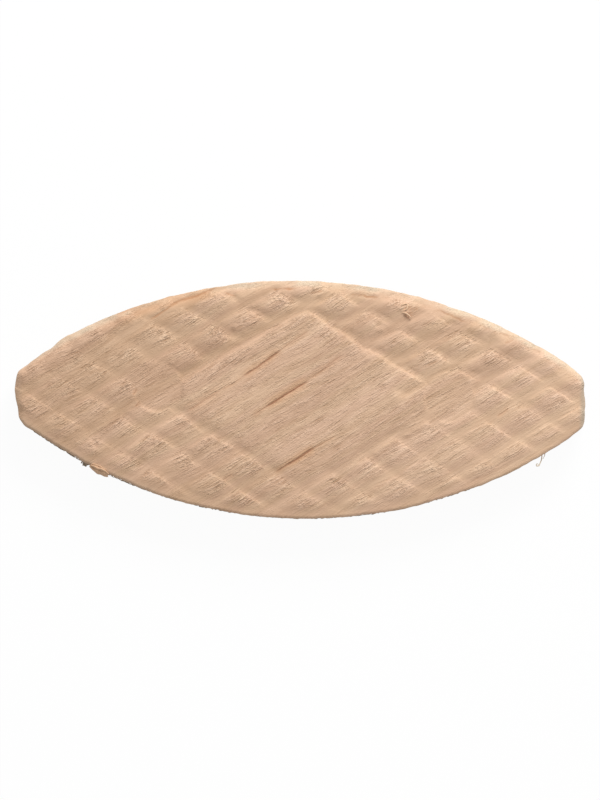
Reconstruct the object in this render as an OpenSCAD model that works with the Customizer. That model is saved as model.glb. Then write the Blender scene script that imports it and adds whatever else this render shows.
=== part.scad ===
// Jointing biscuit: one pressed beech blank with a waffle of rhombic pads on both faces.
// X runs along the length, Y across the grain of the joint, Z through the thickness.
// The underside rests on z = 0 and the middle of the outline is the origin.

/* [Outline] */
// Length over the two cut ends
biscuit_l = 56; // [52:0.5:58]
// Width across the middle
biscuit_w = 23.4; // [20:0.1:26]
// Radius of the back edge, the arc on the +Y side
back_r = 48.3; // [44:0.1:56]
// Radius of the front edge, the arc on the -Y side
front_r = 46; // [44:0.1:56]
// Radius that rounds the corners between the arcs and the cut ends
corner_r = 1.5; // [1.2:0.1:2]

/* [Section] */
// Thickness over the pressed faces
biscuit_t = 4; // [3:0.1:5]
// Width of the eased slope that runs round both faces
bevel_w = 0.9; // [0.4:0.1:1.1]
// How far that slope drops from the face
bevel_drop = 0.55; // [0.3:0.05:0.9]

/* [Pressed pads] */
// Side of one rhombic cell, from groove to groove
cell_l = 3.5; // [3:0.1:4.5]
// Angle between the grooves and the length
groove_angle = 30.6; // [26:0.2:36]
// Width of a groove at its mouth
groove_w = 1.1; // [0.7:0.1:1.4]
// Width of a groove at its floor
groove_floor_w = 0.3; // [0.2:0.1:0.5]
// Depth of a groove
groove_depth = 0.3; // [0.15:0.05:0.4]
// Cells along each side of the plain rhombus in the middle
plain_cells = 5; // [3:1:5]
// How far the pressed pattern sits off the middle, along the length
pattern_x = 0.4; // [-1:0.1:1]
// How far the pressed pattern sits off the middle, across the width
pattern_y = 0.3; // [-0.6:0.1:0.6]

/* [Round marks] */
// Distance between the two round marks, centre to centre
mark_spacing = 28.4; // [24:0.2:32]
// How far the round marks sit off the pattern's own centre line
mark_y = 0.5; // [-0.6:0.1:0.6]
// Diameter of a round mark at its mouth
mark_d = 4.8; // [3:0.1:6]
// Depth of a round mark
mark_depth = 0.35; // [0.2:0.05:0.45]
// Slope of a mark's wall, as the width that it takes on plan
mark_wall_w = 0.3; // [0.1:0.1:0.5]

/* [Hidden] */
$fn = 96;
beech = [0.79, 0.65, 0.52];
// Cutters run past the faces by this much
over = 1;
// Half of the longest groove that the outline can need
reach = biscuit_l;
// Spacing of the grooves, square to their run
pitch = cell_l * sin(2 * groove_angle);
// Half of the diagonals of the plain rhombus
plain_x = plain_cells * cell_l * cos(groove_angle);
plain_y = plain_cells * cell_l * sin(groove_angle);
// Grooves on each side of the plain rhombus that are enough to pass the outline's tips
outer_grooves = ceil((biscuit_l / 2 * sin(groove_angle) + biscuit_w / 2) / pitch);

// Centre of an edge arc, below the apex that it draws
function arc_centre_y(edge_r) = biscuit_w / 2 - edge_r;

// Half section of a disc whose rim slopes down to the wall on both faces
module edged_disc(r) {
    rotate_extrude()
        polygon([
            [0, 0],
            [r - bevel_w, 0],
            [r, bevel_drop],
            [r, biscuit_t - bevel_drop],
            [r - bevel_w, biscuit_t],
            [0, biscuit_t]
        ]);
}

// Bar across the width with the same eased slope along its two cut ends
module end_slab() {
    translate([0, biscuit_w, 0])
        rotate([90, 0, 0])
            linear_extrude(2 * biscuit_w)
                polygon([
                    [-biscuit_l / 2 + bevel_w, 0],
                    [biscuit_l / 2 - bevel_w, 0],
                    [biscuit_l / 2, bevel_drop],
                    [biscuit_l / 2, biscuit_t - bevel_drop],
                    [biscuit_l / 2 - bevel_w, biscuit_t],
                    [-biscuit_l / 2 + bevel_w, biscuit_t],
                    [-biscuit_l / 2, biscuit_t - bevel_drop],
                    [-biscuit_l / 2, bevel_drop]
                ]);
}

// Waste outside the fillet where an edge arc meets the cut end at +X
module corner_waste(edge_r) {
    centre_y = arc_centre_y(edge_r);
    x = biscuit_l / 2 - corner_r;
    rise = sqrt(pow(edge_r - corner_r, 2) - pow(x, 2));
    square_to_arc = [x, rise] / (edge_r - corner_r);
    along = corner_r + over;
    translate([x, centre_y + rise, 0])
        difference() {
            translate([0, 0, -over])
                linear_extrude(biscuit_t + 2 * over)
                    polygon([
                        [0, 0],
                        [along, 0],
                        [along, 0] + along * square_to_arc,
                        along * square_to_arc
                    ]);
            edged_disc(corner_r);
        }
}

// Lens with cut ends, rounded corners and eased edges, before it is pressed
module blank() {
    difference() {
        intersection() {
            translate([0, arc_centre_y(back_r), 0])
                edged_disc(back_r);
            translate([0, -arc_centre_y(front_r), 0])
                edged_disc(front_r);
            end_slab();
        }
        for (side = [0, 1])
            mirror([side, 0, 0]) {
                corner_waste(back_r);
                mirror([0, 1, 0])
                    corner_waste(front_r);
            }
    }
}

// One groove through the pattern's centre, cut down from z = 0
module groove() {
    slope = (groove_w - groove_floor_w) / 2 / groove_depth;
    translate([-reach, 0, 0])
        rotate([90, 0, 90])
            linear_extrude(2 * reach)
                polygon([
                    [-groove_floor_w / 2, -groove_depth],
                    [groove_floor_w / 2, -groove_depth],
                    [groove_w / 2 + slope * over, over],
                    [-groove_w / 2 - slope * over, over]
                ]);
}

// Grooves of one family, numbered from one side of the plain rhombus to the other
module groove_family(numbers) {
    for (k = numbers)
        translate([0, (k - plain_cells / 2) * pitch, 0])
            groove();
}

// Both families, turned either way from the length
module crossed_grooves(numbers) {
    for (turn = [-groove_angle, groove_angle])
        rotate([0, 0, turn])
            groove_family(numbers);
}

// Rhombus that stays plain, its sides on the centre lines of the grooves round it
module plain_rhombus() {
    translate([0, 0, -over])
        linear_extrude(3 * over)
            polygon([[plain_x, 0], [0, plain_y], [-plain_x, 0], [0, -plain_y]]);
}

// Round mark with a sloping wall
module round_mark() {
    wall_slope = mark_wall_w / mark_depth;
    translate([0, 0, -mark_depth])
        cylinder(
            h = mark_depth + over,
            r1 = mark_d / 2 - mark_wall_w,
            r2 = mark_d / 2 + wall_slope * over
        );
}

// Everything that one die presses into a face, with that face at z = 0
module pressing() {
    translate([pattern_x, pattern_y, 0]) {
        crossed_grooves([-outer_grooves : 0]);
        crossed_grooves([plain_cells : plain_cells + outer_grooves]);
        difference() {
            crossed_grooves([1 : plain_cells - 1]);
            plain_rhombus();
        }
        for (side = [-1, 1])
            translate([side * mark_spacing / 2, mark_y, 0])
                round_mark();
    }
}

module biscuit() {
    color(beech)
        difference() {
            blank();
            translate([0, 0, biscuit_t])
                pressing();
            mirror([0, 0, 1])
                pressing();
        }
}

biscuit();
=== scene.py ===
"""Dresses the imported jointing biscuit: pressed beech, torn edge fibres and a plain pale stage."""

import math
import bpy
import numpy as np
from bpy.props import FloatProperty, FloatVectorProperty, IntProperty, PointerProperty
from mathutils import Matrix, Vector


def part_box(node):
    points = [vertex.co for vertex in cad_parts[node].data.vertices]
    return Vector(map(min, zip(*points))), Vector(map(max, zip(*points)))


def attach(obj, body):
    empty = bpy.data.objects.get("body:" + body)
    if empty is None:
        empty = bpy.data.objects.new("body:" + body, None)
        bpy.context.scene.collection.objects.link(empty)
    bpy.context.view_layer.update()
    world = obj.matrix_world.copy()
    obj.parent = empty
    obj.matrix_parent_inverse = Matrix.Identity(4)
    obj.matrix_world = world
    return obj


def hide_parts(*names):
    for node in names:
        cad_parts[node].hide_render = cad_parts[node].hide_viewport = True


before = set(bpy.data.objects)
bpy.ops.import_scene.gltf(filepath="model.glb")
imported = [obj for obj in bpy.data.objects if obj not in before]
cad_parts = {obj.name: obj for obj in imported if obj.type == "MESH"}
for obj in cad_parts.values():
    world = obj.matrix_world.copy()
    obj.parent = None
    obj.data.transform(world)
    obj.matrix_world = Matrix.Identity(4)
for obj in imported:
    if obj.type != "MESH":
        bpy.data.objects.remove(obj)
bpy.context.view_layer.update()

bl_info = {
    "name": "Pressed Jointing Biscuit",
    "version": (1, 0, 0),
    "blender": (4, 5, 0),
    "location": "View3D > Sidebar > Biscuit",
    "description": "Builds a pressed beech jointing biscuit and its stage",
    "category": "Object",
}

NODE = "biscuit"
BODY = "root"
# Modelling is done in millimetres, and Blender's own unit is the metre
MM = 0.001
WHITE = (1.0, 1.0, 1.0, 1.0)
LOW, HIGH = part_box(NODE)

# Mesh density: quads along and across the upper face, and how much coarser the underside is
QUADS_ALONG = 420
QUADS_ACROSS = 140
UNDERSIDE_STEP = 2
# Points that an arc and half a fillet are sampled at before they are cut into even steps
ARC_SAMPLES = 20001
FILLET_SAMPLES = 400
# The rim is built in rings at these distances in from the outline, in mm
RIM_INSET = 1.35
UPPER_RINGS = (1.18, 1.0, 0.84, 0.69, 0.55, 0.42, 0.3, 0.2, 0.11, 0.04)
UNDER_RINGS = (0.08, 0.25, 0.5, 0.85)
WALL_RINGS = 7
# Distance between two points of the outline, near enough for the wall's roughness, in mm
WALL_STEP = 0.12
# A direction that no tube of fibre runs along
ASKEW = (0.31, 0.17, 0.93)

# Profile of a pad: share of a cell that its sharp upper step takes, and powers of its swell and of its fall
PAD_STEP = 0.05
PAD_SWELL = 1.6
PAD_FALL = 1.7
# Share of a pad's rise that lies in that step, where neither place nor chance changes it
PAD_SHARPNESS = 0.35
# How far that profile is softened, as a share of a cell
PAD_SOFTENING = 0.012
# Share of a groove's flat that lies below its line on plan
FLAT_BELOW = 0.65
# Wall of a round mark and fade of the plain border along the front edge, in mm
MARK_WALL = 0.4
BORDER_FADE = 1.3
# Where the pads begin to change towards the front, and where they are those of the front half, as y in mm
FRONT_HALF = (2.5, -2.5)
# Power of the rounded edges' curve
ROUNDING_CURVE = 1.8
# Depth of the whole face below the full thickness, of the splits and of the creases, in mm
FACE_DEPTH = 0.03
SPLIT_DEPTH = 0.06
CREASE_DEPTH = 0.09
# Numbers that keep the noises of the upper face and of the underside apart
UPPER_SEED = 11
UNDER_SEED = 47
# How far the pressed pattern wanders, in mm: size of the waves, distance, and the first of two seeds
WANDER = (
    (3.2, 0.2, 21),
    (0.6, 0.05, 23),
)
# Noises of the relief: length and width in mm, and the number that keeps each apart
BITE_NOISE = (4.0, 3.0, 1)
LONG_WAVES = (9.0, 2.4, 3)
THREAD_DRIFT = (6.0, 2.0, 4)
THREADS = (2.6, 0.42, 5)
FINE_THREADS = (1.3, 0.27, 6)
SHORT_WAVES = (4.0, 0.9, 7)
CRUMB_ENDS = (0.6, 0.24, 8)
PIT_ENDS = (0.55, 0.3, 9)
CRUMB_PATCHES = (1.3, 1.3, 10)
LOOSE_NOISE = (2.3, 2.3, 11)
STEP_NOISE = (1.1, 1.1, 12)
RIM_NOISE = (1.1, 1.1, 13)
THREAD_PATCHES = (2.6, 1.2, 15)
# Number that keeps the pads' own sharpness apart from their height
CRISP_PADS = 14
# Patterns of the wood's colour: length along the grain and width across it in mm, shift and detail
GRAIN_DRIFT = (9.0, 4.0, 3.0, 1.0)
BANDS = (26.0, 1.9, 11.0, 2.0)
HUES = (20.0, 1.4, 71.0, 2.0)
STREAKS = (11.0, 0.75, 23.0, 2.0)
COLOUR_THREADS = (2.6, 0.24, 31.0, 2.0)
COLOUR_FIBRES = (1.3, 0.11, 37.0, 1.0)
FLECKS = (0.7, 0.11, 53.0, 1.0)
COLOUR_CRUMBS = (0.45, 0.2, 61.0, 2.0)
COLOUR_PATCHES = (2.2, 0.8, 83.0, 2.0)
SPECKS = (0.22, 0.1, 91.0, 1.0)

# Where the press bit harder or weaker than elsewhere, in mm: x, y, reach, change of the relief
PRESS_PATCHES = (
    (11.5, 6.8, 6.0, 0.42),
    (2.5, 9.0, 4.5, 0.42),
    (-4.5, 9.0, 4.0, 0.3),
    (19.5, 2.5, 4.5, 0.1),
    (-23.0, 2.6, 4.6, -0.5),
    (-18.3, 4.6, 3.2, -0.3),
    (12.5, -3.2, 3.4, -0.42),
    (17.5, -4.2, 3.0, -0.2),
    (7.5, -8.7, 2.6, -0.15),
    (-8.5, -7.5, 3.0, -0.15),
)
# Where the fibres lie looser or flatter than elsewhere, in mm: x, y, reach, change of the looseness
LOOSE_PATCHES = (
    (-11.0, 5.5, 6.0, 0.35),
    (-17.0, -4.5, 6.0, 0.1),
    (12.2, 8.1, 1.8, -0.7),
    (24.0, 1.0, 6.0, -0.35),
    (14.0, -5.0, 6.0, -0.2),
)
# Splits and dark lines along the grain, in mm: start, end, half width, darkness from 0 to 1
SPLITS = (
    ((-4.9, -1.85), (-1.4, 0.62), 0.1, 0.5),
    ((-3.9, -1.1), (1.2, 2.2), 0.17, 1.0),
    ((0.4, 1.7), (4.4, 4.7), 0.11, 0.4),
    ((-2.4, -7.3), (0.3, -5.4), 0.11, 0.7),
    ((-1.7, -6.75), (1.9, -4.4), 0.15, 0.95),
    ((1.0, -4.95), (3.8, -3.3), 0.09, 0.4),
    ((-11.4, -1.6), (-7.4, 1.15), 0.17, 0.4),
    ((-8.0, 0.7), (-5.2, 2.35), 0.11, 0.4),
    ((-6.1, 1.8), (-1.5, 5.2), 0.15, 0.85),
    ((-2.4, 4.6), (1.1, 7.0), 0.11, 0.35),
    ((-7.6, -8.1), (-6.3, -7.3), 0.1, 0.35),
    ((19.3, -1.4), (20.6, -0.3), 0.09, 0.4),
    ((-16.4, 0.1), (-15.95, 0.85), 0.06, 0.5),
    ((-16.2, -1.0), (-15.7, -0.3), 0.06, 0.5),
)
# Creases and torn spots inside the back edge, in mm: start, end, half width, depth of colour
CREASES = (
    ((-15.1, 7.5), (-11.6, 9.75), 0.12, 0.8),
    ((-12.4, 9.3), (-8.2, 10.85), 0.13, 1.0),
    ((-13.4, 8.9), (-10.2, 10.35), 0.09, 0.9),
    ((-7.7, 10.45), (-6.3, 9.95), 0.12, 0.6),
    ((-3.3, 10.75), (-0.4, 10.95), 0.12, 0.9),
    ((0.7, 10.55), (2.1, 10.8), 0.12, 0.6),
    ((4.6, 10.45), (7.7, 10.2), 0.13, 0.9),
    ((9.9, 9.0), (10.9, 9.5), 0.12, 0.5),
    ((10.3, 9.0), (11.5, 9.4), 0.22, 0.45),
    ((10.0, 8.4), (11.0, 8.9), 0.1, 0.4),
    ((13.1, 9.2), (16.4, 7.85), 0.13, 0.6),
    ((19.3, 6.9), (20.5, 6.6), 0.13, 0.55),
    ((19.9, 5.9), (21.0, 6.35), 0.15, 0.5),
    ((22.6, 5.4), (23.6, 5.05), 0.13, 0.5),
)
# Crumbled spots, in mm: x, y, reach, depth
CRUMBS = (
    (10.35, 9.0, 0.7, 0.1),
    (-7.1, 10.1, 0.7, 0.1),
    (-1.9, 10.7, 0.6, 0.08),
    (1.7, 10.5, 0.6, 0.1),
    (-2.2, 9.6, 0.8, 0.07),
    (-4.6, 8.4, 0.9, 0.07),
    (-6.2, 6.8, 0.9, 0.06),
    (7.6, 7.2, 0.8, 0.06),
    (6.2, 5.0, 0.6, 0.08),
    (-23.6, -3.0, 1.0, 0.07),
    (-20.3, -4.6, 0.7, 0.07),
)
# Where the outline is worn back or stands proud, in mm: x, y, reach, distance inwards
WORN = (
    (-27.5, 3.0, 1.2, 0.46),
    (-26.1, 4.1, 1.1, 0.31),
    (-24.8, 4.9, 0.95, 0.29),
    (-28.0, -1.5, 1.0, 0.32),
    (-26.9, -3.0, 0.6, -0.16),
    (27.9, 2.0, 1.1, 0.13),
    (27.4, 3.1, 0.5, 0.06),
    (20.5, -6.9, 2.0, -0.07),
)
# Knot of torn strands at the lower left, in mm: place along the edge, reach, and how far it stands out
TUFT = (-21.0, 0.38, 0.15)
TUFT_STRANDS = 16
# Flake beside the tuft: its two ends along the edge, how far it reaches in and out, and its top, in mm
FLAKE_ENDS = (-20.5, -18.65)
FLAKE_IN = 0.6
FLAKE_OUT = 0.32
FLAKE_TOP = 4.02
# Rows and columns of the flake's points
FLAKE_GRID = (34, 48)
# Curled fibre at the right and the twig beside it, in mm: place along the edge, distance out and height
CURL_STEM = ((24.0, -0.25, 2.6), (23.75, 0.35, 2.8), (23.35, 0.6, 3.1))
CURL_TWIG = ((24.3, -0.2, 2.3), (24.1, 0.2, 2.4), (23.8, 0.34, 2.7))
# Radius of the curl at the fibre's tip in mm, and its turns
CURL_RADIUS = 0.16
CURL_TURNS = 1.3
# Short stubs of fibre along the front edge: number, first and last place, lowest and highest, in mm
FUZZ_STUBS = 420
FUZZ_SPAN = (-26.0, 20.0)
FUZZ_HEIGHTS = (1.6, 3.5)
# Strands in the torn spot at the upper right, in mm: start, control point and end of each, as x, y, height
SLIVERS = (
    ((9.75, 9.15, 3.86), (9.75, 9.7, 3.94), (10.35, 9.6, 3.88)),
    ((10.35, 9.6, 3.88), (10.5, 9.05, 3.94), (9.95, 8.95, 3.86)),
    ((9.85, 8.75, 3.84), (10.35, 8.8, 3.97), (10.75, 8.25, 3.84)),
)


def mm(value):
    """A Blender length in millimetres."""
    return value / MM


def smooth(t):
    """Smooth step from 0 to 1 of a value that is first held between 0 and 1."""
    t = np.clip(t, 0.0, 1.0)
    return t * t * (3.0 - 2.0 * t)


def step(value, low, high):
    """Smooth step from 0 at low to 1 at high; low may be the larger."""
    return smooth((value - low) / (high - low))


def blend(value, other, share):
    """The first value where the share is 0, and the other where it is 1."""
    return value * (1 - share) + other * share


def fraction(value):
    """What a value has beyond the whole number below it."""
    return value - np.floor(value)


def hashed(ix, iy, seed):
    """A repeatable value from 0 to 1 for each whole-number point."""
    n = ix.astype(np.int64) * 374761393 + iy.astype(np.int64) * 668265263 + seed * 974634777
    n = (n ^ (n >> 13)) * 1274126177
    n = n ^ (n >> 16)
    return (n & 0xFFFFFF) / float(0xFFFFFF)


def noise(u, v, seed):
    """Smooth value noise from -1 to 1, one bump to each unit of u and v."""
    iu, iv = np.floor(u), np.floor(v)
    fu, fv = smooth(u - iu), smooth(v - iv)
    low = blend(hashed(iu, iv, seed), hashed(iu + 1, iv, seed), fu)
    high = blend(hashed(iu, iv + 1, seed), hashed(iu + 1, iv + 1, seed), fu)
    return 2.0 * blend(low, high, fv) - 1.0


def spots(x, y, places):
    """Sum of soft round spots, each given by x, y, reach and strength."""
    total = np.zeros_like(x)
    for spot_x, spot_y, reach, strength in places:
        away = np.hypot(x - spot_x, y - spot_y) / reach
        total += strength * np.exp(-away * away)
    return total


def length(name, description, size):
    """Property for a length, given in mm."""
    return FloatProperty(name=name, description=description, default=size * MM, unit="LENGTH")


def pair(name, description, first, second):
    """Property for a pair of lengths, given in mm."""
    sizes = (first * MM, second * MM)
    return FloatVectorProperty(name=name, description=description, default=sizes, size=2, unit="LENGTH")


def angle(name, description, degrees):
    """Property for an angle."""
    return FloatProperty(name=name, description=description, default=math.radians(degrees), subtype="ANGLE")


def ratio(name, description, value, low=0.0, high=1.0):
    """Property for a share within a range."""
    return FloatProperty(name=name, description=description, default=value, min=low, max=high)


def paint(name, description, *colour):
    """Property for a colour."""
    return FloatVectorProperty(name=name, description=description, default=colour, size=3, subtype="COLOR")


def factors(name, description, *values):
    """Property for the red, green and blue factors that a colour is multiplied by."""
    return FloatVectorProperty(name=name, description=description, default=values, size=3)


class BiscuitShape(bpy.types.PropertyGroup):
    """Sizes of the pressed blank."""

    back_radius: length("Back Radius", "Radius of the back edge", 48.3)
    front_radius: length("Front Radius", "Radius of the front edge", 46.0)
    corner_radius: length("Corner Radius", "Rounding of the four corners", 1.5)
    back_round: pair("Back Rounding", "Width and drop of the rounded back edge", 1.35, 0.6)
    front_round: pair("Front Rounding", "Width and drop of the rounded front edge", 0.28, 0.16)
    left_round: pair("Left End Rounding", "Width and drop of the rounded left end", 0.9, 0.3)
    right_round: pair("Right End Rounding", "Width and drop of the rounded right end", 0.4, 0.25)
    front_border: length("Front Border", "Width of the plain border along the front edge", 1.6)
    cell_side: length("Cell Side", "Side of one pressed cell", 3.5)
    groove_angle: angle("Groove Angle", "Angle between the grooves and the length", 30.6)
    pad_crest: ratio("Pad Crest", "Place of a pad's crest between two grooves", 0.44, 0.2, 0.8)
    groove_floor: ratio("Groove Floor", "Share of a cell that the flat of a groove takes", 0.13, 0.0, 0.5)
    groove_depth: length("Groove Depth", "Depth of the grooves where the press bit well", 0.27)
    plain_cells: IntProperty(name="Plain Cells", description="Cells a side of the plain rhombus", default=5)
    pattern_place: pair("Pattern Place", "Middle of the pressed pattern", 0.4, 0.3)
    mark_radius: length("Mark Radius", "Radius of a round mark", 2.65)
    left_mark: pair("Left Mark", "Middle of the left round mark", -14.0, 1.05)
    right_mark: pair("Right Mark", "Middle of the right round mark", 14.6, 0.5)
    grain_angle: angle("Grain Angle", "Direction of the fibres", 33.0)
    fibre_relief: length("Fibre Relief", "Height of the raised fibres", 0.016)


class BiscuitWood(bpy.types.PropertyGroup):
    """Colours and finish of the beech, painted highlight and painted shade among them."""

    # The ramp from the left tone to the right tone is partly the wood's own tone and partly painted light,
    # darker towards the left and lighter towards the right.
    shaded_left_tone: paint("Left Tone", "Main colour at the left end", 0.624, 0.408, 0.264)
    lit_right_tone: paint("Right Tone", "Main colour at the right end", 0.713, 0.485, 0.329)
    straw: factors("Straw", "Tint of the yellower bands", 0.998, 1.003, 0.98)
    pink: factors("Pink", "Tint of the rosier bands", 1.003, 0.99, 1.0)
    dark_tint: factors("Dark Tint", "Tint of the darkest fibres", 0.68, 0.61, 0.55)
    pale_tint: factors("Pale Tint", "Tint of the palest fibres", 1.32, 1.39, 1.49)
    burnish: factors("Burnish", "Tint of the pressed grooves", 0.96, 0.945, 0.915)
    split: paint("Split", "Splits along the grain", 0.33, 0.145, 0.078)
    amber: paint("Amber", "Stain beside the splits and along the back edge", 0.66, 0.34, 0.165)
    rust: paint("Rust", "Torn creases inside the back edge", 0.46, 0.22, 0.105)
    # Cream: painted highlight along the back edge, and the colour of the pale curled fibre.
    cream_and_rim_highlight: paint("Cream", "Painted highlight along the back edge, and the pale curled fibre", 0.7, 0.585, 0.435)
    # Painted shade: a darker colour for the front edge, the rims of the two ends, the tuft and the fuzz.
    painted_shade: paint("Painted Shade", "Painted shade on the front edge, the ends, the tuft and the fuzz", 0.45, 0.37, 0.28)
    roughness: ratio("Roughness", "Roughness of the raw wood", 0.8)
    bump: length("Fibre Bump", "Height of the finest fibres", 0.1)


class BiscuitStage(bpy.types.PropertyGroup):
    """Floor, lamp, sky and camera."""

    floor_size: length("Floor Size", "Side of the floor", 3000.0)
    floor_glow: ratio("Floor Glow", "Share of plain white in the floor's look, the rest takes shadows", 0.95)
    sky_level: ratio("Sky Level", "Strength of the even light", 0.5)
    key_level: ratio("Key Level", "Light that the key lamp gives to a level surface", 0.5)
    key_elevation: angle("Key Elevation", "Height of the key lamp above the horizon", 32.0)
    key_azimuth: angle("Key Azimuth", "Turn of the key lamp from straight behind towards +X", 20.0)
    key_distance: length("Key Distance", "Distance of the key lamp", 350.0)
    key_size: length("Key Size", "Side of the key lamp", 160.0)
    camera_distance: length("Camera Distance", "Height of the camera over the upper face", 600.0)
    camera_roll: angle("Camera Roll", "Turn of the camera about its own axis", 1.05)
    view_width: length("View Width", "Width that the view takes in at the upper face", 58.85)


class Outline:
    """The lens outline with cut ends and rounded corners, as points and outward normals."""

    def __init__(self, shape):
        self.half_length = mm(HIGH.x - LOW.x) / 2
        self.half_width = mm(HIGH.y - LOW.y) / 2
        self.back = mm(shape.back_radius)
        self.front = mm(shape.front_radius)
        self.corner = mm(shape.corner_radius)
        self.back_y = self.half_width - self.back
        self.front_y = self.front - self.half_width

    def edge_distances(self, x, y):
        """Distance inside the back arc, the front arc and the nearer cut end."""
        back = self.back - np.hypot(x, y - self.back_y)
        front = self.front - np.hypot(x, y - self.front_y)
        end = self.half_length - np.abs(x)
        return back, front, end

    def corner_centre(self, radius):
        """Centre of a right-hand corner's fillet, above the centre of its arc, and its turn."""
        x = self.half_length - self.corner
        rise = math.sqrt((radius - self.corner) ** 2 - x * x)
        return x, rise, math.atan2(rise, x)

    def side(self, radius, count):
        """Half fillet, arc and half fillet over the top of one arc, from left to right."""
        x, rise, turn = self.corner_centre(radius)
        angles = np.linspace(turn / 2, math.pi - turn / 2, ARC_SAMPLES)[::-1]
        normals = np.stack([np.cos(angles), np.sin(angles)], 1)
        on_arc = np.abs(angles - math.pi / 2) <= math.pi / 2 - turn
        centres = np.stack([np.sign(normals[:, 0]) * x, np.full(len(angles), rise)], 1)
        fillets = centres + normals * self.corner
        points = np.where(on_arc[:, None], normals * radius, fillets)
        return self.even(points, normals, count)

    def right_end(self, count):
        """Half fillet, flat and half fillet down the right-hand end."""
        x, back_rise, back_turn = self.corner_centre(self.back)
        _, front_rise, front_turn = self.corner_centre(self.front)
        back_centre = np.array([x, self.back_y + back_rise])
        front_centre = np.array([x, self.front_y - front_rise])
        upper = np.linspace(back_turn / 2, 0.0, FILLET_SAMPLES)
        lower = np.linspace(0.0, -front_turn / 2, FILLET_SAMPLES)
        angles = np.concatenate([upper, lower])
        normals = np.stack([np.cos(angles), np.sin(angles)], 1)
        centres = np.repeat([back_centre, front_centre], FILLET_SAMPLES, axis=0)
        return self.even(centres + normals * self.corner, normals, count)

    @staticmethod
    def even(points, normals, count):
        """The same run cut into count equal steps."""
        run = np.concatenate([[0.0], np.cumsum(np.linalg.norm(np.diff(points, axis=0), axis=1))])
        at = np.linspace(0.0, run[-1], count + 1)
        points = np.stack([np.interp(at, run, points[:, k]) for k in (0, 1)], 1)
        normals = np.stack([np.interp(at, run, normals[:, k]) for k in (0, 1)], 1)
        return points, normals / np.linalg.norm(normals, axis=1)[:, None]

    def loop(self, along, across):
        """Closed run of points and normals: back, right end, front, left end, clockwise from above."""
        back, back_n = self.side(self.back, along)
        front, front_n = self.side(self.front, along)
        right, right_n = self.right_end(across)
        lift = np.array([0.0, self.back_y])
        flip_y, flip_x = np.array([1.0, -1.0]), np.array([-1.0, 1.0])
        back = back + lift
        front = front * flip_y + np.array([0.0, self.front_y])
        points = np.concatenate([back[:-1], right[:-1], front[::-1][:-1], (right * flip_x)[::-1][:-1]])
        normals = np.concatenate(
            [back_n[:-1], right_n[:-1], (front_n * flip_y)[::-1][:-1], (right_n * flip_x)[::-1][:-1]]
        )
        return points, normals


def line_depth(x, y, lines, deepest):
    """Depth of narrow lines between two points each."""
    depth = np.zeros_like(x)
    for (x0, y0), (x1, y1), half, strength in lines:
        run = math.hypot(x1 - x0, y1 - y0)
        dx, dy = (x1 - x0) / run, (y1 - y0) / run
        t = ((x - x0) * dx + (y - y0) * dy) / run
        off = np.abs((y - y0) * dx - (x - x0) * dy)
        taper = step(t, 0.0, 0.25) * step(t, 1.0, 0.75)
        depth = np.maximum(depth, deepest * strength * taper * step(off, 1.69 * half, 0.39 * half))
    return depth


def rounding(distance, size):
    """Drop of a rounded edge of the given width and drop, at a distance in from the outline."""
    return mm(size[1]) * np.clip(1 - distance / mm(size[0]), 0.0, 1.0) ** ROUNDING_CURVE


def wander(x, y, turn):
    """How far the pressed pattern is shifted along the length for turn 0 or across it for turn 1."""
    return sum(distance * noise(x / size, y / size, seed + turn) for size, distance, seed in WANDER)


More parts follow.
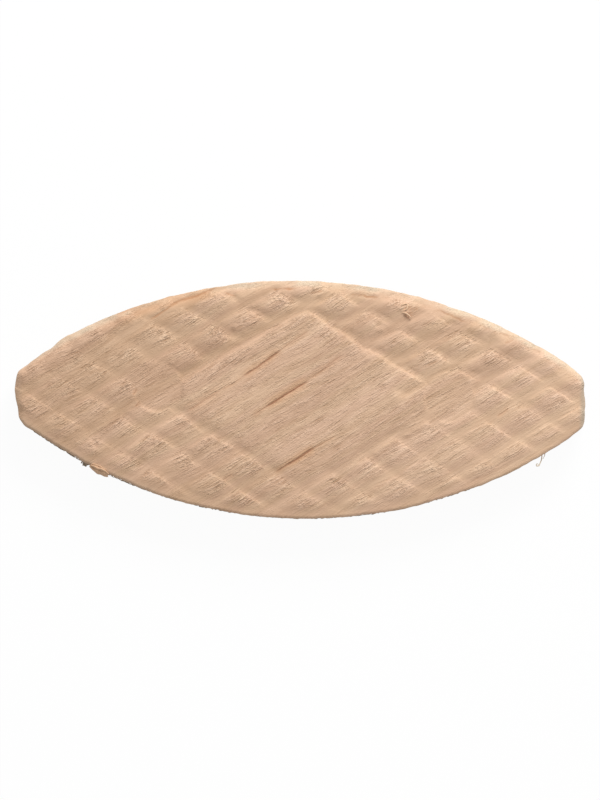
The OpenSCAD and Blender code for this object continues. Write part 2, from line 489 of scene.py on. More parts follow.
class Pressing:
    """Relief of one pressed face, as the depth in mm below the full thickness."""

    def __init__(self, shape, seed, flaws):
        self.shape = shape
        self.seed = seed
        self.flaws = flaws
        self.cells = shape.plain_cells
        self.crest = shape.pad_crest
        self.foot = FLAT_BELOW * shape.groove_floor
        self.heel = 1 - (1 - FLAT_BELOW) * shape.groove_floor
        side = mm(shape.cell_side)
        self.cell_x = 2 * side * math.cos(shape.groove_angle)
        self.cell_y = 2 * side * math.sin(shape.groove_angle)
        self.apex_x = mm(shape.pattern_place[0])
        self.apex_y = mm(shape.pattern_place[1]) + self.cells * self.cell_y / 2

    def noise(self, x, y, layer):
        """One of this face's own noises, from -1 to 1."""
        long, wide, number = layer
        return noise(x / long, y / wide, self.seed + number)

    def cell_place(self, x, y):
        """Cells counted down to the right and down to the left of the plain rhombus's top point."""
        right = (x + wander(x, y, 0) - self.apex_x) / self.cell_x
        up = (y + wander(x, y, 1) - self.apex_y) / self.cell_y
        return right - up, -right - up

    def pillow(self, place, sharp=PAD_SHARPNESS):
        """Height of a pad from 0 in the grooves to 1 on its crest, for places from 0 to 1 between grooves."""
        foot, crest, heel = self.foot, self.crest, self.heel
        total = 0.0
        for shift in (-PAD_SOFTENING, 0.0, PAD_SOFTENING):
            t = (place + shift) % 1.0
            swell = 1 - (1 - np.clip((t - foot) / (crest - foot), 0.0, 1.0)) ** PAD_SWELL
            fall = 1 - np.clip((t - crest) / (heel - crest), 0.0, 1.0) ** PAD_FALL
            total = total + np.where(t < crest, blend(swell, step(t, foot, foot + PAD_STEP), sharp), fall)
        return total / 3

    def groove(self, across, along, bite, sharp, crisp):
        """Share of full depth of one family of grooves, which leave the rhombus in the middle plain."""
        last = self.cells - 1
        plain = np.where(
            across < self.cells / 2, np.minimum(across, self.crest), np.maximum(across - last, self.crest)
        )
        inside = (across > 0) & (across < self.cells)
        within = step(np.minimum(along, self.cells - along), 0.0, 0.25) * inside
        beside = fraction(along)
        crisp = crisp * step(np.minimum(beside, 1 - beside), 0.0, 0.2)
        grooved = 1 - self.pillow(fraction(across), sharp * crisp)
        return bite * blend(grooved, 1 - self.pillow(plain, sharp + 0.2), within)

    def tip_groove(self, a, b):
        """The last groove before the rhombus's right point, which runs on across that point."""
        wall = 1 - self.pillow(np.clip(a - 3.0, 0.5, 1 + self.crest) % 1.0)
        return 0.75 * wall * step(a, 3.45, 3.55) * step(b, 1.0, 0.65) * step(b, -0.1, 0.0)

    def bite(self, x, y, a, b):
        """How hard the press bit, about 1 where it bit well."""
        bite = 0.76 + 0.2 * self.noise(x, y, BITE_NOISE) + spots(x, y, PRESS_PATCHES)
        for across, along in ((a, b), (b, a)):
            beside = step(np.abs(across - 0.2), 0.65, 0.15) * step(along, 0.0, 0.4) * step(along, 4.6, 3.6)
            bite = bite + 0.3 * beside
        return np.clip(bite, 0.1, 1.15) * (1 - 0.28 * step(y, *FRONT_HALF))

    def waffle(self, x, y, a, b, bite, outside):
        """Share of full depth of the crossed grooves and of the pads, which stand unevenly high."""
        sharp = 0.3 + 0.18 * step(y, *FRONT_HALF) + 0.12 * self.noise(x, y, STEP_NOISE)
        crisp = 0.4 + 1.3 * hashed(np.floor(a), np.floor(b), self.seed + CRISP_PADS)
        first = self.groove(a, b, bite, sharp, crisp)
        second = self.groove(b, a, bite, sharp, crisp)
        sunk = 0.36 * (hashed(np.floor(a), np.floor(b), self.seed) - 0.4)
        sunk = sunk * bite * self.pillow(fraction(a)) * self.pillow(fraction(b)) * outside
        return np.maximum(first + second - first * second + sunk, self.tip_groove(a, b))

    def looseness(self, x, y, a, b, bite, outside):
        """How loose the fibres are: most along a pad's upper right edge, 0 where they are pressed smooth."""
        fluff = np.clip(0.7 + 0.4 * self.noise(x, y, LOOSE_NOISE) + spots(x, y, LOOSE_PATCHES), 0.1, 1.2)
        t_a, t_b = fraction(a), fraction(b)
        on_pad = step(np.minimum(t_a, t_b), 0.0, 0.07) * step(t_b, 0.68, 0.23) * step(t_a, 0.98, 0.63)
        on_plain = 0.4 * step(np.minimum(a, b), 0.8, 0.2)
        return fluff * (0.35 + 0.65 * bite) * np.where(outside, on_pad, on_plain)

    def overlays(self, x, y, back, front):
        """Round marks, plain border and back rim: where each is, how pressed it is and how loose."""
        radius, border = mm(self.shape.mark_radius), mm(self.shape.front_border)
        for middle in (self.shape.left_mark, self.shape.right_mark):
            away = np.hypot(x - mm(middle[0]), y - mm(middle[1]))
            yield step(away, radius, radius - MARK_WALL), 0.6, 0.35
        yield step(front, border, border - BORDER_FADE), 0.75, 0.0
        yield 0.6 * step(back, 0.8, 0.1), 0.45, 0.3

    def edge_drop(self, x, back, front, end):
        """Drop of the rounded edges, blended where two of them meet."""
        shape = self.shape
        at_end = np.where(x < 0, rounding(end, shape.left_round), rounding(end, shape.right_round))
        drops = (rounding(back, shape.back_round), rounding(front, shape.front_round), at_end)
        return sum(drop**4 for drop in drops) ** 0.25

    def grain_depth(self, x, y, hollow, loose):
        """Depth of the waves and fibres along the grain, and of the crumbled spots."""
        turn = self.shape.grain_angle
        along = x * math.cos(turn) + y * math.sin(turn)
        across = y * math.cos(turn) - x * math.sin(turn)
        adrift = across + 0.5 * self.noise(along, across, THREAD_DRIFT)
        waves = 0.036 * self.noise(along, across, LONG_WAVES) + 0.026 * self.noise(along, adrift, SHORT_WAVES)
        fibres = self.noise(along, adrift, THREADS) + 0.8 * self.noise(along, adrift, FINE_THREADS)
        fibres = fibres * (1 + 0.8 * self.noise(along, across, THREAD_PATCHES))
        crumbs = self.noise(along, across, CRUMB_ENDS) * step(self.noise(x, y, CRUMB_PATCHES), -0.4, 0.6)
        raised = 1 - np.clip(hollow, 0.0, 1.0)
        relief = (0.25 + 0.7 * raised + 0.5 * loose) * fibres + loose * crumbs
        depth = waves + mm(self.shape.fibre_relief) * relief
        if self.flaws:
            depth += spots(x, y, CRUMBS) * (0.25 + 1.3 * self.noise(along, across, PIT_ENDS))
        return depth

    def depth_at(self, x, y, edges):
        """Depth in mm, and two shares from about 0 to 1: how pressed it is and how loose its fibres are."""
        back, front, end = edges
        back = back + 0.26 * step(back, 0.0, 0.4) * self.noise(x, y, RIM_NOISE)
        a, b = self.cell_place(x, y)
        outside = (a < 0) | (a > self.cells) | (b < 0) | (b > self.cells)
        bite = self.bite(x, y, a, b)
        hollow = self.waffle(x, y, a, b, bite, outside)
        loose = self.looseness(x, y, a, b, bite, outside)
        for mask, pressed, fluffy in self.overlays(x, y, back, front):
            hollow = blend(hollow, pressed, mask)
            loose = blend(loose, fluffy, mask)
        depth = FACE_DEPTH + mm(self.shape.groove_depth) * hollow + self.edge_drop(x, back, front, end)
        depth += self.grain_depth(x, y, hollow, loose)
        if self.flaws:
            depth += line_depth(x, y, SPLITS, SPLIT_DEPTH) + line_depth(x, y, CREASES, CREASE_DEPTH)
        return depth, np.column_stack([hollow, loose])


class MeshParts:
    """Collects points and faces of one mesh, and how pressed and how loose the wood is at each point."""

    def __init__(self):
        self.points = []
        self.shares = []
        self.faces = []
        self.count = 0

    def add(self, points, shares=(0.0, 0.0)):
        """Adds points and returns their numbers."""
        self.points.append(points)
        self.shares.append(np.broadcast_to(shares, (len(points), 2)))
        self.count += len(points)
        return np.arange(self.count - len(points), self.count)

    def band(self, upper, lower):
        """Quads between two closed runs of the same length, the first one inside or above."""
        self.faces.append(np.stack([upper, np.roll(upper, -1), np.roll(lower, -1), lower], 1))

    def fan(self, ring, centre):
        """Triangles from a closed run to one point."""
        self.faces.append(np.stack([ring, np.roll(ring, -1), np.full(len(ring), centre)], 1))

    def grid(self, numbers, side):
        """Quads of a grid of points, which face up for side 1 and down for side -1."""
        corners = (numbers[:-1, :-1], numbers[1:, :-1], numbers[1:, 1:], numbers[:-1, 1:])
        self.faces.append(np.stack(corners[::side], -1).reshape(-1, 4))

    def tube(self, path, radii, sides=5):
        """Closed tube along a path of points."""
        ahead = np.gradient(path, axis=0)
        ahead /= np.linalg.norm(ahead, axis=1)[:, None]
        side = np.cross(ahead, ASKEW)
        side /= np.linalg.norm(side, axis=1)[:, None]
        up = np.cross(side, ahead)
        turns = np.linspace(0, 2 * math.pi, sides, endpoint=False)
        run = None
        for place, s, u, radius in zip(path, side, up, radii):
            ring = self.add(place + radius * (np.outer(np.cos(turns), s) + np.outer(np.sin(turns), u)))
            if run is None:
                self.fan(ring, self.add(place[None])[0])
            else:
                self.band(ring, run)
            run = ring
        self.fan(run[::-1], self.add(path[-1:] + ahead[-1:] * radii[-1])[0])

    def build(self, name, material, smooth_faces=True):
        """A new object of the collected mesh, in metres."""
        data = bpy.data.meshes.new(name)
        faces = [row for block in self.faces for row in block.tolist()]
        data.from_pydata((np.concatenate(self.points) * MM).tolist(), [], faces)
        data.polygons.foreach_set("use_smooth", [smooth_faces] * len(data.polygons))
        shares = np.concatenate(self.shares).astype(np.float32)
        for column, label in enumerate(("pressed", "loose")):
            values = data.attributes.new(label, "FLOAT", "POINT")
            values.data.foreach_set("value", np.ascontiguousarray(shares[:, column]))
        data.materials.append(material)
        data.update()
        piece = bpy.data.objects.new(name, data)
        bpy.context.scene.collection.objects.link(piece)
        return piece


def patch(loop, along, across):
    """Grid of points inside a closed run, rows from back to front, blended from its four sides."""
    back = loop[: along + 1]
    right = loop[along : along + across + 1]
    front = loop[along + across : 2 * along + across + 1][::-1]
    left = np.concatenate([loop[2 * along + across :], loop[:1]])[::-1]
    u = np.linspace(0, 1, along + 1)[None, :, None]
    v = np.linspace(0, 1, across + 1)[:, None, None]
    corners = blend(blend(back[0], back[-1], u), blend(front[0], front[-1], u), v)
    return blend(back[None], front[None], v) + blend(left[:, None], right[:, None], u) - corners


def grid_border(numbers):
    """Numbers along a grid's border, in the same order as the outline's loop."""
    return np.concatenate([numbers[0, :-1], numbers[:-1, -1], numbers[-1, :0:-1], numbers[:0:-1, 0]])


def outline_wear(points):
    """How far the real outline lies inside the drawn one at each of its points, in mm."""
    x, y = points.T
    ripple = 0.05 * noise(x / 1.6, y / 1.6 + 5.0, 81) + 0.035 * noise(x / 0.5, y / 0.5, 82)
    return ripple + 0.05 * step(y, 0.0, -2.0) + spots(x, y, WORN)


def wall_flare(points, normals):
    """How far the upper rim stands in from the lower one, most at the left of the front edge, in mm."""
    x, y = points.T
    front = step(normals[:, 1], 0.25, -0.375)
    left = step(x, -12.0, -20.0) * step(x, -26.5, -24.5)
    return front * (0.015 + 0.08 * left) * (1 + 0.5 * noise(x / 0.7, y / 0.7, 85))


class BISCUIT_OT_blank(bpy.types.Operator):
    """Build the pressed blank: both waffled faces, the eased rim and the cut wall"""

    bl_idname = "mesh.biscuit_blank"
    bl_label = "Pressed Blank"

    def execute(self, context):
        shape = context.scene.biscuit_shape
        self.outline = Outline(shape)
        self.thickness = mm(HIGH.z - LOW.z)
        self.upper = Pressing(shape, UPPER_SEED, True)
        self.under = Pressing(shape, UNDER_SEED, False)
        self.parts = MeshParts()
        points, normals = self.outline.loop(QUADS_ALONG, QUADS_ACROSS)
        self.points, self.normals, self.worn = points, normals, outline_wear(points)
        self.flare = wall_flare(points, normals)
        fine = slice(None)
        coarse = slice(None, None, UNDERSIDE_STEP)

        run = self.face(QUADS_ALONG, QUADS_ACROSS, fine, 1)
        for inset in UPPER_RINGS:
            run = self.ring(run, inset, fine, 1)
        run = self.wall(run)
        for inset in UNDER_RINGS[:-1]:
            run = self.ring(run, inset, fine, -1)
        run = self.coarser_ring(run, UNDER_RINGS[-1], coarse)
        inner = self.face(QUADS_ALONG // UNDERSIDE_STEP, QUADS_ACROSS // UNDERSIDE_STEP, coarse, -1)
        self.parts.band(run, inner)

        piece = self.parts.build("biscuit_pressed", beech_material(context.scene))
        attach(piece, BODY)
        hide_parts(NODE)
        return {"FINISHED"}

    def relief(self, xy, side):
        """Height of the upper face for side 1 or the underside for side -1, and its two shares."""
        edges = self.outline.edge_distances(xy[:, 0], xy[:, 1])
        pressing = self.upper if side > 0 else self.under
        depth, shares = pressing.depth_at(xy[:, 0], xy[:, 1], edges)
        return self.thickness - depth if side > 0 else np.maximum(depth, 0.0), shares

    def face(self, along, across, every, side):
        """Grid of one face inside the rim; returns the numbers along its border."""
        border = self.points[every] - self.normals[every] * RIM_INSET
        xy = patch(border, along, across).reshape(-1, 2)
        z, shares = self.relief(xy, side)
        numbers = self.parts.add(np.column_stack([xy, z]), shares).reshape(across + 1, along + 1)
        self.parts.grid(numbers, side)
        return grid_border(numbers)

    def place_ring(self, inset, every, side):
        """Points of one ring of the rim, moved in where the outline is worn."""
        xy = self.points[every] - self.normals[every] * inset
        z, shares = self.relief(xy, side)
        wear = self.worn[every] + (self.flare[every] if side > 0 else 0.0)
        moved = xy - self.normals[every] * (wear * (1 - inset / RIM_INSET))[:, None]
        return self.parts.add(np.column_stack([moved, z]), shares)

    def ring(self, run, inset, every, side):
        """One ring of the rim joined to the run before it; returns its numbers."""
        ring = self.place_ring(inset, every, side)
        self.parts.band(run, ring)
        return ring

    def wall(self, run):
        """The cut wall between the two rims, roughened by torn fibres."""
        high, low = self.relief(self.points, 1)[0], self.relief(self.points, -1)[0]
        distance = np.arange(len(self.points)) * WALL_STEP
        for down in np.linspace(0.0, 1.0, WALL_RINGS):
            z = blend(high, low, down)
            rough = 0.03 * noise(distance / 0.5, z / 0.9, 71) + 0.025 * noise(distance / 0.25, z / 0.4, 72)
            out = (0.01 + rough) * math.sin(math.pi * down) - self.worn - self.flare * (1 - down)
            ring = self.parts.add(np.column_stack([self.points + self.normals * out[:, None], z]), (0.5, 0.0))
            self.parts.band(run, ring)
            run = ring
        return run

    def coarser_ring(self, run, inset, coarse):
        """Ring with half as many points as the one above it."""
        ring = self.place_ring(inset, coarse, -1)
        even, odd, ahead = run[::2], run[1::2], np.roll(run[::2], -1)
        ring_ahead = np.roll(ring, -1)
        self.parts.faces += [
            np.stack([even, odd, ring], 1),
            np.stack([odd, ring_ahead, ring], 1),
            np.stack([odd, ahead, ring_ahead], 1),
        ]
        return ring


def bend(controls, steps):
    """Points along a smooth curve drawn by its control points."""
    t = np.linspace(0, 1, steps)[:, None, None]
    level = np.repeat(np.asarray(controls, float)[None], steps, axis=0)
    while level.shape[1] > 1:
        level = blend(level[:, :-1], level[:, 1:], t)
    return level[:, 0]


class BISCUIT_OT_frays(bpy.types.Operator):
    """Build what is torn loose: the tuft, the flake, the slivers, the curled fibre and the short fuzz"""

    bl_idname = "mesh.biscuit_frays"
    bl_label = "Torn Fibres"

    def execute(self, context):
        self.outline = Outline(context.scene.biscuit_shape)
        wood = context.scene.biscuit_wood
        # The tuft and the fuzz take the painted shade colour, darker as painted shade.
        torn = torn_material("beech_torn_shaded", wood.painted_shade, wood.pink)
        chip = torn_material("beech_flake", wood.shaded_left_tone, wood.burnish)
        pale = torn_material("beech_hair", wood.cream_and_rim_highlight, wood.straw)
        for name, parts, material in (
            ("edge_tuft", self.tuft(), torn),
            ("edge_flake", self.flake(), chip),
            ("edge_slivers", self.slivers(), torn_material("beech_sliver", wood.lit_right_tone, wood.straw)),
            ("edge_curl", self.curl(), pale),
            ("edge_fuzz", self.fuzz(), torn),
        ):
            piece = parts.build(name, material)
            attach(piece, BODY)
        return {"FINISHED"}

    def beside(self, x, out, z):
        """Place that stands out from the front edge."""
        turn = math.asin(x / self.outline.front)
        reach = self.outline.front + out
        return reach * math.sin(turn), self.outline.front_y - reach * math.cos(turn), z

    def strand(self, steps, *places):
        """Curved path beside the front edge, drawn by its control points."""
        return bend([self.beside(*place) for place in places], steps)

    def tuft(self):
        """A small knot of tangled strands that hugs the front edge."""
        parts = MeshParts()
        middle, reach, out = TUFT
        order = np.arange(TUFT_STRANDS)
        draws = np.stack([hashed(order, order * 0 + part, 301) for part in range(8)]) * 2 - 1
        for a, b, c, d, e, f, g, h in draws.T:
            path = self.strand(
                12,
                (middle + reach * a, -0.15, 2.6 + 0.5 * b),
                (middle + reach * c, out + 0.16 * d, 2.8 + 0.4 * e),
                (middle + reach * f, out * 0.5 + 0.22 * g, 2.7 + 0.5 * h),
                (middle + 0.6 * reach * b, out + 0.12 * a, 2.9 + 0.3 * c),
            )
            parts.tube(path, np.linspace(0.06, 0.03, 12))
        return parts

    def slivers(self):
        """Fibres lifted out of the upper face beside the back edge."""
        parts = MeshParts()
        swell = np.sin(np.linspace(0.25, math.pi - 0.25, 12))
        for ends in SLIVERS:
            parts.tube(bend(ends, 12), 0.03 + 0.075 * swell, 6)
        return parts

    def flake(self):
        """A thin crumpled chip bent out over the front edge."""
        parts = MeshParts()
        rows, columns = FLAKE_GRID
        u, v = np.meshgrid(np.linspace(0, 1, columns), np.linspace(0, 1, rows))
        level = np.zeros_like(u)
        edge = np.array([self.beside(x, 0.0, 0.0) for x in np.linspace(*FLAKE_ENDS, columns)])
        lobe = np.clip(np.sin(math.pi * (0.02 + 0.96 * u)), 0, 1) ** 0.4
        ragged = 1 + 0.1 * noise(u * 5.0, level, 93)
        out = lobe * ((FLAKE_IN + FLAKE_OUT) * v * ragged - FLAKE_IN)
        bulge = 3.66 + 0.24 * np.sin(math.pi * v) * lobe - 0.5 * v**3
        folds = 0.16 * np.abs(np.sin(math.pi * (3.2 * v + 0.5 * noise(u * 2.6, level, 91)))) - 0.1
        folds = folds * lobe + 0.08 * noise(u * 6.0 - v * 2.0, v * 5.0, 92)
        half = 0.11 * (0.3 + 0.7 * lobe * np.sin(math.pi * (0.05 + 0.9 * v)))
        x = edge[:, 0] + 0.08 * np.sin(6 * v)
        y = edge[:, 1] - out
        sheets = []
        for side in (1, -1):
            z = np.minimum(bulge + folds + side * half, FLAKE_TOP)
            sheets.append(parts.add(np.stack([x, y, z], -1).reshape(-1, 3)).reshape(rows, columns))
            parts.grid(sheets[-1], side)
        parts.band(grid_border(sheets[0]), grid_border(sheets[1]))
        return parts

    def curl(self):
        """A fine fibre at the right of the front edge that curls up at its tip, and a twig beside it."""
        parts = MeshParts()
        stem = self.strand(14, *CURL_STEM)
        gone = np.linspace(0, 1, 26)[1:, None]
        radius = CURL_RADIUS * (1 - 0.45 * gone)
        turn = gone * CURL_TURNS * 2 * math.pi
        heart = stem[-1] + np.array([-CURL_RADIUS, -0.05, 0.0])
        loop = [radius * np.cos(turn) - 0.12 * gone, -radius * np.sin(turn) - 0.1 * gone, 0.18 * gone]
        path = np.concatenate([stem, heart + np.concatenate(loop, 1)])
        parts.tube(path, np.linspace(0.055, 0.03, len(path)))
        parts.tube(self.strand(8, *CURL_TWIG), np.linspace(0.045, 0.02, 8))
        return parts

    def fuzz(self):
        """Short stubs of fibre that roughen the front edge, thickest at the left."""
        parts = MeshParts()
        order = np.arange(FUZZ_STUBS)
        along, high, reach, lean, thick = (hashed(order, order * 0, seed) for seed in range(201, 206))
        for k in order:
            x = blend(*FUZZ_SPAN, along[k] ** 1.5)
            z = blend(*FUZZ_HEIGHTS, high[k])
            out = 0.02 + 0.07 * reach[k] ** 2
            slant = 0.7 * (lean[k] - 0.5)
            path = self.strand(
                5,
                (x - slant, -0.2, z),
                (x, 1.6 * out - 0.06, z + 0.08),
                (x + slant, 0.4 * out - 0.08, z - 0.1 + 0.3 * lean[k]),
            )
            radius = 0.025 + 0.03 * thick[k]
            parts.tube(path, np.linspace(radius, 0.5 * radius, 5), 4)
        return parts


class Value:
    """A shader socket that Python's operators work on."""

    def __init__(self, graph, socket):
        self.graph = graph
        self.socket = socket

    def math(self, operation, *others):
        values = [self, *others]
        return self.graph.node("ShaderNodeMath", {"operation": operation}, dict(enumerate(values)))

    def flipped(self, operation, other):
        return self.graph.node("ShaderNodeMath", {"operation": operation}, {0: other, 1: self})

    def __add__(self, other):
        return self.math("ADD", other)

    def __sub__(self, other):
        return self.math("SUBTRACT", other)

    def __mul__(self, other):
        return self.math("MULTIPLY", other)

    def __truediv__(self, other):
        return self.math("DIVIDE", other)

    def __rsub__(self, other):
        return self.flipped("SUBTRACT", other)

    __radd__ = __add__
    __rmul__ = __mul__

    def size(self):
        return self.math("ABSOLUTE")

    def most(self, other):
        return self.math("MAXIMUM", other)

    def step(self, low, high):
        """Smooth step from 0 at low to 1 at high; low may be the larger."""
        return self.graph.node(
            "ShaderNodeMapRange",
            {"interpolation_type": "SMOOTHSTEP"},
            {"Value": self, "From Min": low, "From Max": high, "To Min": 0.0, "To Max": 1.0},
        )


class Graph:
    """Node tree of a material or of the world."""

    def __init__(self, owner):
        owner.use_nodes = True
        self.owner = owner
        self.tree = owner.node_tree
        self.tree.nodes.clear()

    def node(self, kind, settings=None, inputs=None, output=0):
        """Adds a node, sets it up, feeds it and returns one output as a value."""
        made = self.tree.nodes.new(kind)
        for key, value in (settings or {}).items():
            setattr(made, key, value)
        for key, value in (inputs or {}).items():
            if isinstance(value, Value):
                self.tree.links.new(value.socket, made.inputs[key])
            else:
                made.inputs[key].default_value = value
        return Value(self, made.outputs[output]) if made.outputs else made

    def vector(self, operation, *values, output=0):
        return self.node("ShaderNodeVectorMath", {"operation": operation}, dict(enumerate(values)), output)

    def mix(self, factor, first, second):
        """Colour mix, the second colour where the factor is 1."""
        inputs = {0: factor, 6: first, 7: second}
        return self.node("ShaderNodeMix", {"data_type": "RGBA"}, inputs, 2)

    def multiply(self, first, second):
        """Product of two colours."""
        inputs = {0: 1.0, 6: first, 7: second}
        return self.node("ShaderNodeMix", {"data_type": "RGBA", "blend_type": "MULTIPLY"}, inputs, 2)

    def finish(self, inputs):
        """Closes the tree with one principled shader and returns the material."""
        shader = self.node("ShaderNodeBsdfPrincipled", None, inputs)
        self.node("ShaderNodeOutputMaterial", None, {"Surface": shader})
        return self.owner


def rgba(colour):
    """A colour property as the four values that a shader socket takes."""
    return (*colour, 1.0)


class BeechGrain:
    """Places and patterns of the beech, along and across its grain, in mm."""

    def __init__(self, graph, shape):
        self.graph = graph
        metres = graph.node("ShaderNodeTexCoord", None, None, "Object")
        scaled = {0: metres, "Scale": 1 / MM}
        self.place = graph.node("ShaderNodeVectorMath", {"operation": "SCALE"}, scaled)
        self.flat = graph.vector("MULTIPLY", self.place, (1.0, 1.0, 0.0))
        self.x = self.along_way(self.place, (1.0, 0.0, 0.0))
        self.height = self.along_way(self.place, (0.0, 0.0, 1.0))
        turn = shape.grain_angle
        self.along = self.along_way(self.place, (math.cos(turn), math.sin(turn), 0.0))
        self.across = self.along_way(self.place, (-math.sin(turn), math.cos(turn), 0.0))
        self.across = self.across + (self.noise(*GRAIN_DRIFT) - 0.5) * 1.1

        self.threads = self.noise(*COLOUR_THREADS)
        self.fibres = self.noise(*COLOUR_FIBRES)
        self.crumbs = self.noise(*COLOUR_CRUMBS)
        self.patchy = self.noise(*COLOUR_PATCHES)
        self.pressed = graph.node("ShaderNodeAttribute", {"attribute_name": "pressed"}, None, "Fac")
        self.loose = graph.node("ShaderNodeAttribute", {"attribute_name": "loose"}, None, "Fac")
        self.crumble = self.loose.step(0.45, 1.1)
        self.upward = self.height.step(2.0, 2.8)
        grip = 0.35 + self.pressed.step(0.6, 0.1) * 0.5 + self.loose * 1.1
        self.grip = grip * (self.patchy.step(0.3, 0.7) * 0.9 + 0.55)

    def along_way(self, place, way):
        """Distance of a place along a direction."""
        return self.graph.vector("DOT_PRODUCT", place, way, output=1)

    def noise(self, long, wide, shift, detail):
        """Noise with bumps of the given length and width; the shift keeps noises apart."""
        place = {0: self.along / long + shift, 1: self.across / wide, 2: self.height / wide}
        place = self.graph.node("ShaderNodeCombineXYZ", None, place)
        inputs = {"Vector": place, "Scale": 1.0, "Detail": detail, "Roughness": 0.5}
        return self.graph.node("ShaderNodeTexNoise", None, inputs)

    def inside(self, radius, centre_y):
        """Distance inside one of the outline's two arcs."""
        return radius - self.graph.vector("DISTANCE", self.flat, (0.0, centre_y, 0.0), output=1)

    def line(self, start, end, wander):
        """Distance from a line between two points and a taper that fades it at its ends."""
        (x0, y0), (x1, y1) = start, end
        run = math.hypot(x1 - x0, y1 - y0)
        dx, dy = (x1 - x0) / run, (y1 - y0) / run
        along = self.along_way(self.flat, (dx, dy, 0.0)) - (x0 * dx + y0 * dy)
        off = self.along_way(self.flat, (-dy, dx, 0.0)) - (y0 * dx - x0 * dy)
        taper = (along / run).step(0.0, 0.25) * (along / run).step(1.0, 0.75)
        return (off + wander).size(), taper

    def lines(self, places, wander, spread):
        """Mask of many lines on the upper face, each blurred to spread times its own width."""
        mask = None
        for start, end, half, strength in places:
            off, taper = self.line(start, end, wander)
            one = off.step(half * spread, half * spread * 0.1) * taper * strength
            mask = one if mask is None else mask.most(one)
        return mask * self.upward


def banded_tone(graph, grain, wood):
    """Colour of the wood: bands, streaks and fibres, darker where it is pressed, with painted light in its
    left-to-right ramp and on loose fibres.
    """
    # Darker towards the left and lighter towards the right: partly the wood's own tone, partly painted light
    # falloff.
    from_left = (grain.x + mm(HIGH.x)) / mm(HIGH.x - LOW.x)
    colour = graph.mix(from_left, rgba(wood.shaded_left_tone), rgba(wood.lit_right_tone))
    hue = graph.mix(grain.noise(*HUES).step(0.38, 0.62), rgba(wood.straw), rgba(wood.pink))
    flecks = grain.noise(*FLECKS).step(0.62, 0.74)
    fine = (grain.threads - 0.5) * 0.42 + (grain.fibres - 0.5) * 0.95 - flecks * 0.16
    broad = (grain.noise(*BANDS) - 0.5) * 0.55 + (grain.noise(*STREAKS) - 0.5) * 0.45
    # Paler on loose fibres and crumbs, which lie along the pads' upper right edges that face the key lamp:
    # partly pale broken fibres, partly painted highlight.
    tone = 0.5 + broad + fine * grain.grip + grain.loose * 0.05
    tone = tone + grain.crumbs.step(0.5, 0.68) * grain.crumble * 0.22
    shade = graph.mix(tone, rgba(wood.dark_tint), rgba(wood.pale_tint))
    burnish = graph.mix(grain.pressed, WHITE, rgba(wood.burnish))
    return graph.multiply(graph.multiply(graph.multiply(colour, hue), shade), burnish)


def stained_and_painted_light_edges(graph, grain, wood, outline, colour):
    """The colour with a painted highlight along the back edge, an amber stain inside it, and painted shade on
    the front and ends.
    """
    from_back = grain.inside(outline.back, outline.back_y)
    from_front = grain.inside(outline.front, outline.front_y)
    from_left = grain.x + outline.half_length
    from_right = outline.half_length - grain.x
    # Painted highlight: a cream band along the back rim, weaker in the pressed grooves.
    highlight_share = 0.35 + grain.pressed.step(0.7, 0.2) * 0.65
    rim_highlight = from_back.step(0.8, 0.15) * grain.patchy.step(0.2, 0.55) * highlight_share
    amber = from_back.step(1.5, 0.5) * grain.x.step(-7.5, -10.0) * grain.x.step(-21.0, -15.0) * grain.upward
    lip = grain.height.step(3.0, 3.8) * 0.85 + 0.15
    # Painted shade along the front edge and the ends, strongest at the front left and near the top of the
    # right end.
    painted_shade = (from_front.step(0.2, 0.0) * 0.2).most(from_left.step(0.9, 0.1) * 0.25)
    painted_shade = painted_shade.most(from_right.step(0.7, 0.15) * lip * 1.5)
    painted_shade = painted_shade.most(from_front.step(0.9, 0.0) * grain.x.step(-11.0, -16.0) * 0.45)
    colour = graph.mix(rim_highlight * 0.8, colour, rgba(wood.cream_and_rim_highlight))
    colour = graph.mix(amber * 0.35, colour, rgba(wood.amber))
    return graph.mix(painted_shade * 0.6, colour, rgba(wood.painted_shade))


def beech_material(scene):
    """Raw pressed beech: banded colour, fine fibres, splits, a stained back edge with a painted highlight,
    and painted shade on the front edge and ends.
    """
    wood, shape = scene.biscuit_wood, scene.biscuit_shape
    graph = Graph(bpy.data.materials.new("beech_pressed"))
    grain = BeechGrain(graph, shape)
    colour = banded_tone(graph, grain, wood)
    colour = stained_and_painted_light_edges(graph, grain, wood, Outline(shape), colour)

    waver = (grain.patchy - 0.5) * 0.3
    halo = grain.lines(SPLITS, waver * 2.0, 5.0)
    split = grain.lines(SPLITS, waver, 1.0)
    crease = grain.lines(CREASES, waver * 2.0, 1.3) * grain.patchy.step(0.3, 0.5)
    colour = graph.mix(halo * 0.38, colour, rgba(wood.amber))
    colour = graph.mix(crease * 0.7, colour, rgba(wood.rust))
    colour = graph.mix(split * 0.85, colour, rgba(wood.split))

    relief = (grain.fibres - 0.5) * 0.9 + (grain.threads - 0.5) * 0.7 + (grain.noise(*SPECKS) - 0.5) * 0.7
    relief = relief * grain.grip + (grain.crumbs - 0.5) * grain.crumble * 1.6 - split * 0.5
    normal = graph.node("ShaderNodeBump", None, {"Strength": 1.0, "Distance": wood.bump, "Height": relief})
    return graph.finish(
        {"Base Color": colour, "Roughness": wood.roughness, "Normal": normal, "Specular IOR Level": 0.25}
    )


def torn_material(name, colour, tint):
    """Loose beech fibres, unevenly toned."""
    graph = Graph(bpy.data.materials.new(name))
    place = graph.node("ShaderNodeTexCoord", None, None, "Object")
    patchy = graph.node("ShaderNodeTexNoise", None, {"Vector": place, "Scale": 1.1 / MM, "Detail": 2.0})
    colour = graph.mix(patchy.step(0.3, 0.7), rgba(colour), graph.multiply(rgba(colour), rgba(tint)))
    return graph.finish({"Base Color": colour, "Roughness": 0.85, "Specular IOR Level": 0.2})


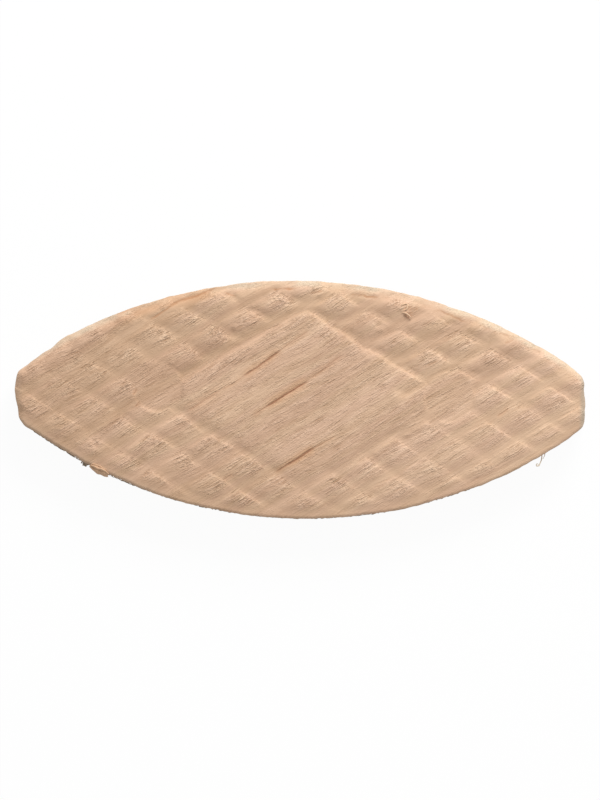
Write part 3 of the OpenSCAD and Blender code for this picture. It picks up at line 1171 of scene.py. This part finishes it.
class BISCUIT_OT_stage(bpy.types.Operator):
    """Set up the pale floor, the even sky, the key lamp and the camera over the biscuit"""

    bl_idname = "scene.biscuit_stage"
    bl_label = "Stage"

    def execute(self, context):
        stage = context.scene.biscuit_stage
        self.floor(stage)
        self.sky(context.scene, stage)
        self.key_lamp(context.scene, stage)
        self.camera(context.scene, stage)
        context.scene.view_settings.view_transform = "Standard"
        return {"FINISHED"}

    def floor(self, stage):
        half = mm(stage.floor_size) / 2
        parts = MeshParts()
        corners = ((-half, -half, 0.0), (half, -half, 0.0), (half, half, 0.0), (-half, half, 0.0))
        parts.faces.append(parts.add(np.array(corners))[None])
        graph = Graph(bpy.data.materials.new("pale_floor"))
        card = graph.node("ShaderNodeBsdfDiffuse", None, {"Color": WHITE})
        white = graph.node("ShaderNodeEmission", None, {"Color": WHITE, "Strength": 1.0})
        glow = graph.node("ShaderNodeLightPath", None, None, "Is Camera Ray") * stage.floor_glow
        shader = graph.node("ShaderNodeMixShader", None, {0: glow, 1: card, 2: white})
        graph.node("ShaderNodeOutputMaterial", None, {"Surface": shader})
        parts.build("floor", graph.owner, False)

    def sky(self, scene, stage):
        scene.world = bpy.data.worlds.new("even_sky")
        graph = Graph(scene.world)
        seen = graph.node("ShaderNodeLightPath", None, None, "Is Camera Ray")
        even = graph.node("ShaderNodeBackground", None, {"Color": WHITE, "Strength": stage.sky_level})
        white = graph.node("ShaderNodeBackground", None, {"Color": WHITE, "Strength": 1.0})
        shader = graph.node("ShaderNodeMixShader", None, {0: seen, 1: even, 2: white})
        graph.node("ShaderNodeOutputWorld", None, {"Surface": shader})

    def key_lamp(self, scene, stage):
        lamp = bpy.data.lights.new("key_lamp", "AREA")
        lamp.shape = "SQUARE"
        lamp.size = stage.key_size
        elevation, azimuth = stage.key_elevation, stage.key_azimuth
        level = stage.key_level / math.sin(elevation)
        lamp.energy = level * math.pi * math.pi * stage.key_distance**2
        holder = bpy.data.objects.new("key_lamp", lamp)
        flat = math.cos(elevation)
        way = Vector((flat * math.sin(azimuth), flat * math.cos(azimuth), math.sin(elevation)))
        holder.location = way * stage.key_distance
        holder.rotation_euler = way.to_track_quat("Z", "Y").to_euler()
        scene.collection.objects.link(holder)

    def camera(self, scene, stage):
        lens = bpy.data.cameras.new("camera")
        lens.sensor_fit = "HORIZONTAL"
        lens.lens = lens.sensor_width * stage.camera_distance / stage.view_width
        camera = bpy.data.objects.new("camera", lens)
        camera.location = (0.0, 0.0, HIGH.z + stage.camera_distance)
        camera.rotation_euler = (0.0, 0.0, stage.camera_roll)
        scene.collection.objects.link(camera)
        scene.camera = camera


class BISCUIT_PT_panel(bpy.types.Panel):
    """Sidebar panel that lists the biscuit's builders and sizes"""

    bl_label = "Jointing Biscuit"
    bl_idname = "BISCUIT_PT_panel"
    bl_space_type = "VIEW_3D"
    bl_region_type = "UI"
    bl_category = "Biscuit"

    def draw(self, context):
        column = self.layout.column()
        for builder in STEPS:
            column.operator(builder.bl_idname)
        for group in (context.scene.biscuit_shape, context.scene.biscuit_wood, context.scene.biscuit_stage):
            for name in group.__annotations__:
                column.prop(group, name)


STEPS = (BISCUIT_OT_blank, BISCUIT_OT_frays, BISCUIT_OT_stage)
GROUPS = (BiscuitShape, BiscuitWood, BiscuitStage)


def register():
    for kind in (*GROUPS, *STEPS, BISCUIT_PT_panel):
        bpy.utils.register_class(kind)
    bpy.types.Scene.biscuit_shape = PointerProperty(type=BiscuitShape)
    bpy.types.Scene.biscuit_wood = PointerProperty(type=BiscuitWood)
    bpy.types.Scene.biscuit_stage = PointerProperty(type=BiscuitStage)


def unregister():
    del bpy.types.Scene.biscuit_stage
    del bpy.types.Scene.biscuit_wood
    del bpy.types.Scene.biscuit_shape
    for kind in reversed((*GROUPS, *STEPS, BISCUIT_PT_panel)):
        bpy.utils.unregister_class(kind)


def main():
    register()
    bpy.ops.mesh.biscuit_blank()
    bpy.ops.mesh.biscuit_frays()
    bpy.ops.scene.biscuit_stage()


if __name__ == "__main__":
    main()
